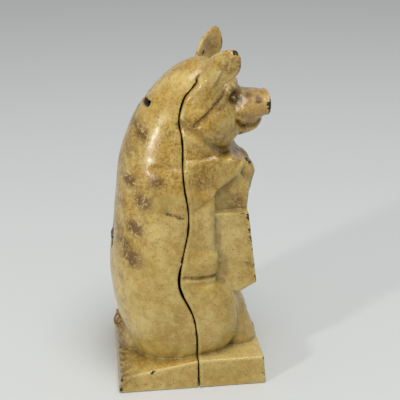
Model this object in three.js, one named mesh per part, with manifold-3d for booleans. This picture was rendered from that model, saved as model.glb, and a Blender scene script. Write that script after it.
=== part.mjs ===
// Cast iron piggy bank: a pig sits upright on a square base and holds a thick plaque block in front of its
// belly. Two hollow castings meet at an S-shaped parting line, and one long screw from the back holds them.
// Millimetres, +Z up. The pig faces -Y and its right side is -X. The origin is the centre of the bounding
// box, at the level of the surface that the bank stands on.

import * as THREE from "three";
import { mergeVertices } from "three/addons/utils/BufferGeometryUtils.js";
import Module from "manifold-3d";

const wasm = await Module();
wasm.setup();

// ---------------------------------------------------------------- driving dimensions

const BASE_WIDTH = 73; // across X
const BASE_DEPTH = 74; // along Y
const BASE_FRONT_HEIGHT = 14.8; // level from the front edge to the parting line
const BASE_REAR_HEIGHT = 8.3; // the top slopes down to this at the rear edge
const DRAFT = 1.2; // how far each side of the base leans in by its top edge
const BASE_CENTRE_Y = 1.3; // the snout overhangs the base more than the back does

const WALL = 3.3; // thickness of the castings
const FLOOR = 5; // thickness of the base under the coin chamber
const PARTING_GAP = 0.8; // the worn castings no longer close up tightly

// The trunk, from the base to the crown: height, back, front and half width of each section.
const TRUNK = [
  [7, 27, -22, 25],
  [15, 30.5, -24, 29.5],
  [27, 34.5, -22, 32.5],
  [42, 37.4, -19, 33.2],
  [57, 38.2, -14.5, 32.2],
  [74, 36.3, -13.5, 30],
  [93, 34.2, -15.5, 28],
  [110, 32, -19.5, 26.2],
  [124, 27.6, -20.5, 23.6],
  [136, 21.6, -20, 20.6],
  [146, 14, -18.5, 16.6],
  [153, 5.5, -16, 11.8],
  [157.6, -3.5, -12, 5],
];
const TRUNK_SQUARENESS = 2.25; // exponent of the section: 2 is an ellipse

const HEAD = { at: [0, -11, 135], radii: [21, 14.5, 18.5] };
const SNOUT = { rear: -19, front: -38.5, z: 135, width: 11.5, height: 8, rearGrow: 1.3 };
const NOSE_DISC = { rear: -37.5, front: -41, z: 135.2, width: 10, height: 7.2 };
const JAW = { at: [0, -26, 127], radii: [10, 11.5, 6.2], tilt: -16 };
const EAR = { root: [15.5, -9.8, 142], tip: [30, -19.8, 167.9], halfWidth: 8.2, halfThickness: 3.6 };
const EAR_ACROSS = [0.45, -0.78, -0.43]; // the way that an ear's broad side runs

const UPPER_ARM = { from: [18.5, 4, 105.5], to: [18, -4, 103], radius: 10.8 };
const FOREARM = { from: [17.5, -6, 104.5], to: [9.5, -20.5, 106], radius: 9.2 };
const HAND = { at: [5.6, -27, 103], radii: [6.8, 7.6, 9] };
const PALM = { from: [7, -23.5, 98], to: [7, -20.5, 87], radius: 7.5 }; // rests on the plaque's top edge
const THIGH = { at: [19, -4.5, 32], radii: [15.5, 20.5, 23] };
const SHIN = { from: [15, -17.5, 43], to: [15, -26, 20], radius: 8 };
const FOOT = { at: [14, -25, 17.5], radii: [8, 10.5, 8] };

const PLAQUE_WIDTH = 48;
const PLAQUE = [[-28.5, 88.5], [-33.2, 51], [-25.5, 46.5], [-8, 46.5], [-8, 88.5]]; // side outline, y and z
const PLAQUE_HOLLOW_REAR = -4; // where its hollow meets the coin chamber

const TAIL = { at: [0, 33.5, 21], radius: 3, thickness: 1.9 };
const RUMP_FOOT = { at: [0, 29, 12], radii: [12, 7, 8] };

const COIN_SLOT = { width: 25, height: 4.8, z: 139.8, front: 8 }; // across the back of the neck

// The parting line seen from the side, y and z, from below the base to above the crown.
const PARTING = [
  [-2.8, -12], [-2.8, 12], [-2.2, 28], [-0.3, 39], [5, 51], [6.2, 58], [4.4, 68], [1.6, 81],
  [1.2, 92], [3.3, 107], [3.2, 124], [4.4, 134.5], [2, 143], [-1.1, 147.2], [-4.6, 151],
  [-8.4, 154.2], [-12.8, 156.9], [-18, 160], [-30, 170],
];
const EAR_ROOM = { x: 11.6, rear: -1, low: 150 }; // the ears past these belong to the front casting

const SCREW_Z = 70;
const SCREW_SHANK = 4.8; // diameter
const SCREW_HOLE = 5.6; // diameter, in the back
const SCREW_TIP_Y = -7;
const SCREW_HEAD = { radius: 4.6, height: 2.8, seat: 34.4 };
const SCREW_SLOT = { width: 1.3, depth: 1.3 };
const SEAT_GAP = 0.3;
const FRONT_BOSS = { radius: 6, rear: 4.5, holeEnd: -10 };
const BACK_BOSS = { radius: 7.5, front: 26 };
const SPOT_FACE_RADIUS = 6;

// Lugs inside the front casting reach past the parting line, just clear of the back casting's inner wall.
const LUG = { wide: 2.6, high: 9, reach: 4, root: 6, clear: 0.7, foot: 3 };
const LUG_PLACES = [{ z: 28, rim: -2.6, wall: 28.1 }, { z: 100, rim: 1.9, wall: 22.7 }];

const IVORY = 0xd2bd85;
const STEEL = 0x6f6a62;

// ---------------------------------------------------------------- solids

function solid(geometry) {
  const bare = geometry.clone();
  bare.deleteAttribute("normal");
  bare.deleteAttribute("uv");
  const merged = mergeVertices(bare, 1e-4);
  return new wasm.Manifold(
    new wasm.Mesh({
      numProp: 3,
      vertProperties: merged.attributes.position.array,
      triVerts: new Uint32Array(merged.index.array),
    }),
  );
}

function joined(solids) {
  return solids.reduce((all, next) => all.add(next));
}

// The same solid on the pig's right and left, made by place(side) with side -1 and 1.
function pair(place) {
  return joined([-1, 1].map(place));
}

function ellipsoid({ at, radii }, around = 20, along = 14, tilt = 0) {
  const geometry = new THREE.SphereGeometry(1, around, along);
  geometry.rotateX(Math.PI / 2);
  geometry.scale(...radii);
  geometry.rotateX(THREE.MathUtils.degToRad(tilt));
  geometry.translate(...at);
  return solid(geometry);
}

// A round-ended rod between two points.
function rod(from, to, radius) {
  const start = new THREE.Vector3(...from);
  const way = new THREE.Vector3(...to).sub(start);
  const geometry = new THREE.CapsuleGeometry(radius, way.length(), 5, 16);
  geometry.applyQuaternion(
    new THREE.Quaternion().setFromUnitVectors(new THREE.Vector3(0, 1, 0), way.clone().normalize()),
  );
  geometry.translate(...start.addScaledVector(way, 0.5));
  return solid(geometry);
}

// A round bar along Y.
function bar(radius, fromY, toY, z, around = 24, farRadius = radius) {
  const geometry = new THREE.CylinderGeometry(farRadius, radius, Math.abs(toY - fromY), around);
  if (toY < fromY) geometry.rotateX(Math.PI);
  geometry.translate(0, (fromY + toY) / 2, z);
  return solid(geometry);
}

function box(wide, [rearY, frontY], [lowZ, highZ], x = 0) {
  const geometry = new THREE.BoxGeometry(wide, rearY - frontY, highZ - lowZ);
  geometry.translate(x, (rearY + frontY) / 2, (lowZ + highZ) / 2);
  return solid(geometry);
}

// An outline of y and z points, extruded to a width across X.
function slab(points, width) {
  const shape = new THREE.Shape(points.map(([y, z]) => new THREE.Vector2(y, z)));
  const geometry = new THREE.ExtrudeGeometry(shape, { depth: width, bevelEnabled: false });
  geometry.rotateX(Math.PI / 2);
  geometry.rotateZ(Math.PI / 2);
  geometry.translate(-width / 2, 0, 0);
  return geometry;
}

// A cylinder whose rings are moved to the sections of the trunk.
function trunk(sections, around, along) {
  const places = new THREE.CatmullRomCurve3(
    sections.map(([z, back, front]) => new THREE.Vector3(z, back, front)), false, "catmullrom");
  const widths = new THREE.SplineCurve(sections.map(([z, , , half]) => new THREE.Vector2(z, half)));
  const geometry = new THREE.CylinderGeometry(1, 1, 1, around, along);
  geometry.rotateX(Math.PI / 2);
  const point = geometry.attributes.position;
  const rounded = (value) => Math.sign(value) * Math.abs(value) ** (2 / TRUNK_SQUARENESS);
  for (let i = 0; i < point.count; i++) {
    const share = THREE.MathUtils.clamp(point.getZ(i) + 0.5, 0, 1);
    const { x: z, y: back, z: front } = places.getPoint(share);
    const half = widths.getPoint(share).y;
    const across = rounded(point.getX(i)) * half;
    const forward = (back + front) / 2 + (rounded(point.getY(i)) * (back - front)) / 2;
    point.setXYZ(i, across, forward, z);
  }
  return solid(geometry);
}

// The trunk's sections with the wall taken off, from the floor of the coin chamber to under the crown.
function chamberSections() {
  const inner = TRUNK.map(([z, back, front, half]) => [z, back - WALL, front + WALL, half - WALL]);
  inner.pop();
  inner[0][0] = FLOOR;
  const crown = inner[inner.length - 1];
  crown[0] -= WALL / 2;
  return inner;
}

function smaller(part, by) {
  return { ...part, radii: part.radii.map((radius) => radius - by) };
}

// ---------------------------------------------------------------- the outside of the bank

function base() {
  const half = BASE_DEPTH / 2;
  const outline = [
    [-half, 0],
    [half, 0],
    [half - DRAFT, BASE_REAR_HEIGHT],
    [PARTING[1][0], BASE_FRONT_HEIGHT],
    [-half + DRAFT, BASE_FRONT_HEIGHT],
  ];
  const geometry = slab(outline, BASE_WIDTH);
  const point = geometry.attributes.position;
  for (let i = 0; i < point.count; i++) {
    const lean = (DRAFT * point.getZ(i)) / BASE_FRONT_HEIGHT;
    point.setX(i, point.getX(i) * (1 - lean / (BASE_WIDTH / 2)));
  }
  return solid(geometry);
}

// A flattened leaf that narrows to a rounded tip.
function ear(side) {
  const mirror = new THREE.Vector3(side, 1, 1);
  const root = new THREE.Vector3(...EAR.root).multiply(mirror);
  const tip = new THREE.Vector3(...EAR.tip).multiply(mirror);
  const along = tip.clone().sub(root);
  const up = along.clone().normalize();
  const face = new THREE.Vector3(...EAR_ACROSS).multiply(mirror).cross(up).normalize();
  const across = up.clone().cross(face);
  const geometry = new THREE.SphereGeometry(1, 18, 14);
  const point = geometry.attributes.position;
  for (let i = 0; i < point.count; i++) {
    const height = point.getY(i);
    const narrow = 1 - 0.42 * THREE.MathUtils.smoothstep(height, -0.4, 1);
    const wide = point.getX(i) * EAR.halfWidth * narrow;
    const thick = point.getZ(i) * EAR.halfThickness * narrow;
    point.setXYZ(i, wide, height, thick);
  }
  geometry.applyMatrix4(new THREE.Matrix4().makeBasis(across, along.clone().multiplyScalar(0.5), face));
  geometry.translate(...root.addScaledVector(along, 0.5));
  return solid(geometry);
}

function head() {
  const snout = bar(1, 0, 1, 0, 24, SNOUT.rearGrow);
  const disc = bar(1, 0, 1, 0, 24);
  const stretch = (piece, { rear, front, z, width, height }) =>
    piece.scale([width, rear - front, height]).translate([0, front, z]);
  return joined([
    ellipsoid(HEAD, 28, 18),
    stretch(snout, SNOUT),
    stretch(disc, NOSE_DISC),
    ellipsoid(JAW, 18, 12, JAW.tilt),
    pair(ear),
  ]);
}

function onSide(side, [x, y, z]) {
  return [side * x, y, z];
}

function arm(side) {
  return joined([
    rod(onSide(side, UPPER_ARM.from), onSide(side, UPPER_ARM.to), UPPER_ARM.radius),
    rod(onSide(side, FOREARM.from), onSide(side, FOREARM.to), FOREARM.radius),
    rod(onSide(side, PALM.from), onSide(side, PALM.to), PALM.radius),
    ellipsoid({ ...HAND, at: onSide(side, HAND.at) }, 16, 12),
  ]);
}

function leg(side) {
  return joined([
    ellipsoid({ ...THIGH, at: onSide(side, THIGH.at) }, 22, 16),
    rod(onSide(side, SHIN.from), onSide(side, SHIN.to), SHIN.radius),
    ellipsoid({ ...FOOT, at: onSide(side, FOOT.at) }, 16, 10),
  ]);
}

function tail() {
  const curl = new THREE.TorusGeometry(TAIL.radius, TAIL.thickness, 8, 16);
  curl.rotateY(Math.PI / 2);
  curl.translate(...TAIL.at);
  return joined([solid(curl), ellipsoid(RUMP_FOOT, 16, 10)]);
}

function outside() {
  const pig = joined([
    trunk(TRUNK, 36, 22),
    head(),
    pair(arm),
    pair(leg),
    solid(slab(PLAQUE, PLAQUE_WIDTH)),
    tail(),
  ]);
  const aboveTable = box(200, [100, -100], [0, 200]);
  return pig.add(base()).intersect(aboveTable);
}

// ---------------------------------------------------------------- the inside

// The plaque block is hollow too, and opens into the chamber behind it.
function plaqueHollow() {
  const [topFront, lowFront, lowRear] = PLAQUE;
  const inner = [
    [topFront[0] + WALL, topFront[1] - WALL],
    [lowFront[0] + WALL, lowFront[1] + WALL / 2],
    [lowRear[0], lowRear[1] + WALL],
    [PLAQUE_HOLLOW_REAR, lowRear[1] + WALL],
    [PLAQUE_HOLLOW_REAR, topFront[1] - WALL],
  ];
  return solid(slab(inner, PLAQUE_WIDTH - 2 * WALL));
}

function chamber() {
  const thigh = smaller(THIGH, WALL);
  const hollow = joined([
    trunk(chamberSections(), 24, 14),
    ellipsoid(smaller(HEAD, WALL), 18, 12),
    pair((side) => ellipsoid({ ...thigh, at: onSide(side, thigh.at) }, 16, 12)),
    plaqueHollow(),
  ]);
  return hollow.intersect(box(200, [100, -100], [FLOOR, 200]));
}

function frontBoss() {
  const post = bar(FRONT_BOSS.radius, FRONT_BOSS.rear, PLAQUE[0][0], SCREW_Z);
  return post.subtract(bar(SCREW_HOLE / 2, FRONT_BOSS.rear + 1, FRONT_BOSS.holeEnd, SCREW_Z));
}

// A tongue, and the foot that holds it to the front casting's wall.
function lug(side, { z, rim, wall }) {
  const heights = [z - LUG.high / 2, z + LUG.high / 2];
  const x = wall - LUG.clear - LUG.wide / 2;
  const tongue = box(LUG.wide, [rim + LUG.reach, rim - LUG.root], heights, side * x);
  const foot = box(LUG.foot, [rim - PARTING_GAP, rim - LUG.root], heights, side * (x + LUG.wide / 2 + 1));
  return tongue.add(foot);
}

// ---------------------------------------------------------------- the three pieces

// Everything behind the parting line, moved back by a shift, but for the room that the ears take.
function behindParting(shift) {
  const line = new THREE.SplineCurve(PARTING.map(([y, z]) => new THREE.Vector2(y + shift, z)));
  const edge = line.getPoints(60).map(({ x, y }) => [x, y]);
  const wide = 40;
  const centre = EAR_ROOM.x - shift + wide / 2;
  const earRoom = pair((side) =>
    box(wide, [EAR_ROOM.rear + shift, -60], [EAR_ROOM.low - shift, 180], side * centre),
  );
  return solid(slab([...edge, [100, 180], [100, -12]].reverse(), 200)).subtract(earRoom);
}

function frontHalf(shell) {
  const rim = behindParting(-PARTING_GAP / 2);
  const lugs = LUG_PLACES.map((place) => pair((side) => lug(side, place)));
  return joined([shell.subtract(rim), frontBoss(), ...lugs]);
}

function backHalf(shell) {
  const boss = bar(BACK_BOSS.radius, BACK_BOSS.front, SCREW_HEAD.seat, SCREW_Z);
  const slotHeights = [COIN_SLOT.z - COIN_SLOT.height / 2, COIN_SLOT.z + COIN_SLOT.height / 2];
  const slot = box(COIN_SLOT.width, [40, COIN_SLOT.front], slotHeights);
  return shell
    .intersect(behindParting(PARTING_GAP / 2))
    .add(boss)
    .subtract(bar(SPOT_FACE_RADIUS, SCREW_HEAD.seat, 45, SCREW_Z))
    .subtract(bar(SCREW_HOLE / 2, BACK_BOSS.front - 1, 45, SCREW_Z))
    .subtract(slot);
}

function screw() {
  const seat = SCREW_HEAD.seat + SEAT_GAP;
  const dome = new THREE.SphereGeometry(1, 24, 12);
  dome.scale(SCREW_HEAD.radius, SCREW_HEAD.height, SCREW_HEAD.radius);
  dome.translate(0, seat, SCREW_Z);
  const top = seat + SCREW_HEAD.height;
  const overSeat = box(20, [60, seat], [SCREW_Z - 10, SCREW_Z + 10]);
  const cut = box(20, [top + 1, top - SCREW_SLOT.depth], [
    SCREW_Z - SCREW_SLOT.width / 2,
    SCREW_Z + SCREW_SLOT.width / 2,
  ]);
  const shank = bar(SCREW_SHANK / 2, SCREW_TIP_Y, seat + 1, SCREW_Z, 20);
  return solid(dome).intersect(overSeat).add(shank).subtract(cut);
}

// ---------------------------------------------------------------- the scene

function mesh(name, made, color, roughness, metalness) {
  const { vertProperties, triVerts, numProp } = made.getMesh();
  const position = new THREE.BufferAttribute(new Float32Array(vertProperties), numProp);
  const geometry = new THREE.BufferGeometry();
  geometry.setAttribute("position", position);
  geometry.setIndex(new THREE.BufferAttribute(new Uint32Array(triVerts), 1));
  geometry.computeVertexNormals();
  const piece = new THREE.Mesh(geometry, new THREE.MeshStandardMaterial({ color, roughness, metalness }));
  piece.name = name;
  return piece;
}

const shell = outside().subtract(chamber());

const bank = new THREE.Group();
bank.position.y = BASE_CENTRE_Y;
bank.add(
  mesh("front_half", frontHalf(shell), IVORY, 0.45, 0),
  mesh("back_half", backHalf(shell), IVORY, 0.45, 0),
  mesh("assembly_screw", screw(), STEEL, 0.4, 0.9),
);

export default bank;
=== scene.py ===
"""Looks for the cast iron piggy bank: two enamelled castings and the screw that holds them.

Each casting is modelled as a distance field in millimetres, in the frame's own axes, and turned into a
mesh. Its coin chamber is cut out with a boolean, so that the shell is as hollow as the real one.
"""
import math

import bpy
import numpy as np
import openvdb
from mathutils import Euler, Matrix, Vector


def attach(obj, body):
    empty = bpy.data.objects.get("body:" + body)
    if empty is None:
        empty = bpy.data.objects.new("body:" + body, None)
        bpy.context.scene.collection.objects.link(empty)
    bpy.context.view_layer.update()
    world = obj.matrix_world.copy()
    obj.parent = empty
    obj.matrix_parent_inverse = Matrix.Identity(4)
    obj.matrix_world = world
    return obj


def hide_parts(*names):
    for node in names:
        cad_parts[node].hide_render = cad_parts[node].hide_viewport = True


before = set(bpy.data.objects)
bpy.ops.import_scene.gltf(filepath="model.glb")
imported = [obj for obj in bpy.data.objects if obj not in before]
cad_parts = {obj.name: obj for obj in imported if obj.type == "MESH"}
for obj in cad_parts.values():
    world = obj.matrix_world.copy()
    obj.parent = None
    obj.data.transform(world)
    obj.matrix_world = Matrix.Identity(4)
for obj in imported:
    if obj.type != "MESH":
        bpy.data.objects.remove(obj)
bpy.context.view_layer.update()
MM = 0.001

# ---------------------------------------------------------------- sizes, in mm

VOXEL = 0.68
CHAMBER_VOXEL = 1.5
LUG_VOXEL = 0.8
SCREW_VOXEL = 0.2
MARGIN = 3.0  # empty space round a field
FAR = 40.0  # the distance that empty space starts with
OUTSIDE = 60.0  # a reach that is past the bank on every side

MIDDLE = 1.3  # the base's middle in Y; the points below are measured from it
BASE_HALF = 36.5
BASE_HALF_DEPTH = 37.0
BASE_FRONT_TOP = 14.8  # level from the front to the parting line
BASE_REAR_TOP = 8.3  # the top slopes down to this at the rear edge
DRAFT = 1.2  # how far each side of the base leans in by its top edge
WALL = 3.3  # of the castings
FLOOR = 5.0  # thickness of the base under the coin chamber
GAP = 0.62  # between the castings where they aren't worn
CREASE_ANGLE = 48  # an edge sharper than this many degrees is shaded as an edge

# Height, back, front and half width of the trunk's sections.
TRUNK = [
    (7, 27, -22, 25),
    (15, 30.5, -24, 29.5),
    (27, 34.5, -22, 32.5),
    (42, 37.4, -19, 33.2),
    (57, 38.2, -14.5, 32.2),
    (74, 36.3, -13.5, 30),
    (93, 34.2, -15.5, 28),
    (110, 32, -19.5, 26.2),
    (124, 27.6, -20.5, 23.6),
    (136, 21.6, -20, 20.6),
    (146, 14, -18.5, 16.6),
    (153.8, 5.5, -16, 11.8),
    (158.9, -3.5, -12, 5),
]
SQUARENESS = 2.25  # exponent of the sections: 2 is an ellipse
SNOUT_SQUARENESS = 2.3

# The parting line seen from the side: y and z.
PARTING = [
    (-2.8, -12), (-2.8, 12), (-2.2, 28), (-0.3, 39), (5, 51), (6.2, 58), (4.4, 68), (1.6, 81), (1.2, 92),
    (3.3, 107), (3.2, 124), (4.4, 134.5), (2, 143), (-1.1, 147.2), (-4.6, 151), (-8.4, 154.2), (-12.8, 156.9),
    (-18, 160), (-30, 170),
]
EAR_ROOM = (12.4, -4.4, 150.5)  # past this x, before this y and over this z it is all the front casting

# The plaque block from the side: y and z.
PLAQUE = [(-28.5, 88.5), (-33.2, 51), (-25.5, 46.5), (-8, 46.5), (-8, 88.5)]
PLAQUE_HALF = 24.0

SCREW_Z = 70.0
SEAT_Y = 34.4  # where the screw's head rests
SCREW_SEAT = SEAT_Y + 0.3
SCREW_TOP = SCREW_SEAT + 2.8
SCREW_TIP = -7.0
SCREW_HEAD = 4.6  # radius
SCREW_SHANK = 2.4  # radius
THREAD = {"pitch": 1.1, "depth": 0.42, "from": 9, "to": 10}  # it runs out between these two
DRIVE_SLOT = {"half": 0.65, "depth": 1.3}
SCREW_HOLE = 2.8  # radius
SPOT_FACE = 6  # radius of the recess round the screw's head
FRONT_BOSS = {"radius": 6, "rear": 4.5, "hole_end": -10}
BACK_BOSS = {"radius": 7.5, "front": 26, "hole_end": 20}
REAR = 46  # past the back, in Y
SLOT = {"half": 9.8, "z": 139.4, "half_height": 1.3, "front": 8.0}

# The lugs' heights, and where the parting line and the back casting's inner wall are there.
LUG_PLACES = [(28, -2.6, 28.1), (100, 1.9, 22.7)]

# A lug's thickness, half height, reach past the parting line, root before it, and gap inside the wall.
LUG = (2.6, 4.5, 4, 6, 0.7)

# The lumps of the castings' skin: size, height and the seed of its random numbers.
SOFT_LUMPS = [(11, 0.2, 1), (4.5, 0.09, 2)]
SKIN_LUMPS = (3.2, 0.05, 3)
CHAMBER_LUMPS = (9, 0.25, 5)


# ---------------------------------------------------------------- curves

def catmull(points, steps=12):
    """Points on a smooth curve through the given ones."""
    p = np.array(points, float)
    p = np.vstack([2 * p[0] - p[1], p, 2 * p[-1] - p[-2]])
    t = np.linspace(0, 1, steps, endpoint=False)[:, None]
    made = []
    for a, b, c, d in zip(p[:-3], p[1:-2], p[2:-1], p[3:]):
        made.append(
            0.5 * (2 * b + (c - a) * t + (2 * a - 5 * b + 4 * c - d) * t**2 + (3 * b - a - 3 * c + d) * t**3)
        )
    return np.vstack([*made, p[-2:-1]])


def smoothstep(low, high, value):
    t = np.clip((value - low) / (high - low), 0, 1)
    return t * t * (3 - 2 * t)


# ---------------------------------------------------------------- distance fields

class Field:
    """Distances to a surface on a regular grid: negative inside, positive outside."""

    def __init__(self, low, high, voxel):
        self.voxel = voxel
        self.low = np.array(low, np.float32) - MARGIN
        self.count = np.ceil((np.array(high) + MARGIN - self.low) / voxel).astype(int) + 1
        self.axes = [
            (self.low[k] + voxel * np.arange(self.count[k])).astype(np.float32) for k in range(3)
        ]
        self.values = np.full(self.count, FAR, np.float32)

    def window(self, low, high, spare):
        """Slices of the grid round a box, and the coordinates in them."""
        cut = []
        for k in range(3):
            first = np.searchsorted(self.axes[k], low[k] - spare)
            last = np.searchsorted(self.axes[k], high[k] + spare)
            cut.append(slice(first, max(last, first + 1)))
        x, y, z = (self.axes[k][cut[k]] for k in range(3))
        return tuple(cut), (x[:, None, None], y[None, :, None], z[None, None, :])

    def join(self, part, blend=0.0):
        low, high, distance = part
        cut, at = self.window(low, high, max(blend, 2.0) + 2 * self.voxel)
        self.values[cut] = smooth_least(self.values[cut], distance(*at), blend)
        return self

    def cut(self, part, blend=0.0):
        low, high, distance = part
        cut, at = self.window(low, high, max(blend, 2.0) + 2 * self.voxel)
        self.values[cut] = -smooth_least(-self.values[cut], distance(*at), blend)
        return self

    def keep(self, other, blend=0.0):
        """Keeps only what is also inside another field's values."""
        self.values = -smooth_least(-self.values, -other, blend)
        return self

    def even(self):
        """Divides by the slope, so that the values are true distances near the surface."""
        steps = np.gradient(self.values, self.voxel)
        slope = np.sqrt(sum(s * s for s in steps))
        self.values /= np.clip(slope, 0.3, 4.0)
        return self

    def copy(self):
        twin = object.__new__(Field)
        twin.voxel, twin.low, twin.count, twin.axes = self.voxel, self.low, self.count, self.axes
        twin.values = self.values.copy()
        return twin

    def sample(self, values, points):
        """The grid's values at points, linear between grid points."""
        at = (points - self.low) / self.voxel
        at = np.clip(at, 0, self.count - 1.001)
        base = np.floor(at).astype(int)
        part = (at - base).astype(np.float32)
        total = np.zeros(len(points), np.float32)
        for corner in np.ndindex(2, 2, 2):
            weight = np.prod(np.where(corner, part, 1 - part), axis=1)
            i, j, k = (base + corner).T
            total += weight * values[i, j, k]
        return total

    def mesh(self, name):
        """A closed mesh of the surface at zero, in metres."""
        grid = openvdb.FloatGrid(FAR)
        grid.copyFromArray(np.ascontiguousarray(self.values))
        points, _, quads = grid.convertToPolygons(isovalue=0.0)
        points = points.astype(np.float32) * self.voxel + self.low
        made = bpy.data.meshes.new(name)
        made.vertices.add(len(points))
        made.vertices.foreach_set("co", (points * MM).astype(np.float32).ravel())
        made.loops.add(4 * len(quads))
        made.loops.foreach_set("vertex_index", quads.astype(np.int32).ravel())
        made.polygons.add(len(quads))
        made.polygons.foreach_set("loop_start", np.arange(0, 4 * len(quads), 4, dtype=np.int32))
        made.update(calc_edges=True)
        return made


def smooth_least(a, b, blend):
    if blend <= 0:
        return np.minimum(a, b)
    h = np.clip(0.5 + 0.5 * (b - a) / blend, 0, 1)
    return b + (a - b) * h - blend * h * (1 - h)


def turned(points, tilt):
    """Coordinates in a frame turned by tilt, in degrees about X, Y and Z."""
    if not any(tilt):
        return points
    m = np.array(Euler([math.radians(t) for t in tilt]).to_matrix().transposed(), np.float32)
    return [m[i][0] * points[0] + m[i][1] * points[1] + m[i][2] * points[2] for i in range(3)]


def span(centre, reach, mirrored):
    """The corners of the box round a shape, or round it and its mirror image."""
    low, high = np.array(centre) - reach, np.array(centre) + reach
    if mirrored:
        high[0] = max(abs(low[0]), abs(high[0]))
        low[0] = -high[0]
    return low, high


def ellipsoid(at, radii, tilt=(0, 0, 0), mirrored=False, square=2.0):
    """An ellipsoid; a square above 2 makes it boxier."""
    centre = (at[0], at[1] + MIDDLE, at[2])

    def distance(x, y, z):
        x = np.abs(x) if mirrored else x
        p = turned((x - centre[0], y - centre[1], z - centre[2]), tilt)
        near = sum(np.abs(c / r) ** square for c, r in zip(p, radii)) ** (1 / square)
        far = np.sqrt(sum((c / r**2) ** 2 for c, r in zip(p, radii)))
        return near * (near - 1) / np.maximum(far, 1e-6)

    return (*span(centre, np.full(3, max(radii)), mirrored), distance)


def cone(start, end, start_radius, end_radius):
    """A round-ended cone between two points, on both sides."""
    a = np.array((start[0], start[1] + MIDDLE, start[2]), np.float32)
    b = np.array((end[0], end[1] + MIDDLE, end[2]), np.float32)
    way = b - a

    def distance(x, y, z):
        px, py, pz = np.abs(x) - a[0], y - a[1], z - a[2]
        t = np.clip((px * way[0] + py * way[1] + pz * way[2]) / float(way @ way), 0, 1)
        off = np.sqrt((px - t * way[0]) ** 2 + (py - t * way[1]) ** 2 + (pz - t * way[2]) ** 2)
        return off - (start_radius + (end_radius - start_radius) * t)

    centre = (a + b) / 2
    return (*span(centre, np.abs(way) / 2 + max(start_radius, end_radius), True), distance)


def planes(corners, half_width, radius, lean=0.0, sweep=0.0):
    """A prism across X of a convex outline of y and z points, with rounded edges.

    It gets narrower by lean for each millimetre of height and wider by sweep for each one towards the back.
    """
    outline = np.array(corners, np.float32) + (MIDDLE, 0)
    middle = outline.mean(0)

    def distance(x, y, z):
        side = -np.full(np.broadcast(y, z).shape, FAR, np.float32)
        for a, b in zip(outline, np.roll(outline, -1, axis=0)):
            normal = np.array((b[1] - a[1], a[0] - b[0]))
            normal = normal / np.linalg.norm(normal)
            if normal @ (middle - a) > 0:
                normal = -normal
            side = np.maximum(side, (y - a[0]) * normal[0] + (z - a[1]) * normal[1])
        across = np.abs(x) - half_width + lean * z - sweep * (y - MIDDLE)
        u, v = np.maximum(side + radius, 0), np.maximum(across + radius, 0)
        return np.sqrt(u * u + v * v) + np.minimum(np.maximum(side, across) + radius, 0) - radius

    low = (-half_width, outline[:, 0].min(), outline[:, 1].min())
    high = (half_width, outline[:, 0].max(), outline[:, 1].max())
    return low, high, distance


def trunk(sections):
    """A smooth body through sections of height, back, front and half width."""
    rows = catmull(sections)
    z_of, back, front, half = rows.T

    def distance(x, y, z):
        at = z[0, 0]
        b, f, h = (np.interp(at, z_of, c).astype(np.float32)[None, None] for c in (back, front, half))
        centre, depth = (b + f) / 2 + MIDDLE, (b - f) / 2
        u, v = np.abs(x) / h, np.abs(y - centre) / depth
        g = (u**SQUARENESS + v**SQUARENESS) ** (1 / SQUARENESS)
        away = np.sqrt(x * x + (y - centre) ** 2) * (1 - 1 / np.maximum(g, 0.05))
        ends = np.maximum(z_of[0] - z, z - z_of[-1])
        return np.maximum(away, ends)

    low = (-half.max(), front.min() + MIDDLE, z_of[0])
    high = (half.max(), back.max() + MIDDLE, z_of[-1])
    return low, high, distance


def bar(radius, from_y, to_y):
    """A round bar along the screw's axis."""
    def distance(x, y, z):
        round_off = np.sqrt(x * x + (z - SCREW_Z) ** 2) - radius
        return np.maximum(round_off, np.abs(y - MIDDLE - (from_y + to_y) / 2) - (to_y - from_y) / 2)

    low = (-radius, from_y + MIDDLE, SCREW_Z - radius)
    high = (radius, to_y + MIDDLE, SCREW_Z + radius)
    return low, high, distance


def block(low, high, radius=0.5, mirrored=False):
    """A box with rounded edges."""
    low, high = np.array(low, float) + (0, MIDDLE, 0), np.array(high, float) + (0, MIDDLE, 0)
    centre, half = (low + high) / 2, (high - low) / 2

    def distance(x, y, z):
        x = np.abs(x) if mirrored else x
        q = [np.abs(c - m) - h + radius for c, m, h in zip((x, y, z), centre, half)]
        out = np.sqrt(sum(np.maximum(c, 0) ** 2 for c in q))
        return out + np.minimum(np.maximum(np.maximum(q[0], q[1]), q[2]), 0) - radius

    return (*span(centre, half, mirrored), distance)


# ---------------------------------------------------------------- relief: lines pressed in or raised

def near_line(points, first, second):
    """How far each point of a plane is from a smooth line, in that plane."""
    line = catmull(points, 6).astype(np.float32)
    least = np.full(np.broadcast(first, second).shape, FAR, np.float32)
    for a, b in zip(line[:-1], line[1:]):
        way = b - a
        u, v = first - a[0], second - a[1]
        t = np.clip((u * way[0] + v * way[1]) / max(float(way @ way), 1e-6), 0, 1)
        least = np.minimum(least, np.sqrt((u - t * way[0]) ** 2 + (v - t * way[1]) ** 2))
    return least


def side_line(field, points, width, depth, beyond):
    """Presses a line of y and z points into both sides where x is past beyond; a negative depth raises it."""
    at = np.array(points, float) + (MIDDLE, 0)
    reach = 3 * width
    low = (-OUTSIDE, at[:, 0].min() - reach, at[:, 1].min() - reach)
    high = (OUTSIDE, at[:, 0].max() + reach, at[:, 1].max() + reach)
    cut, (x, y, z) = field.window(low, high, 0)
    off = near_line(at, y, z)
    mask = smoothstep(beyond, beyond + 3, np.abs(x))
    field.values[cut] += (depth * np.exp(-((off / width) ** 2)) * mask).astype(np.float32)


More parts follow.
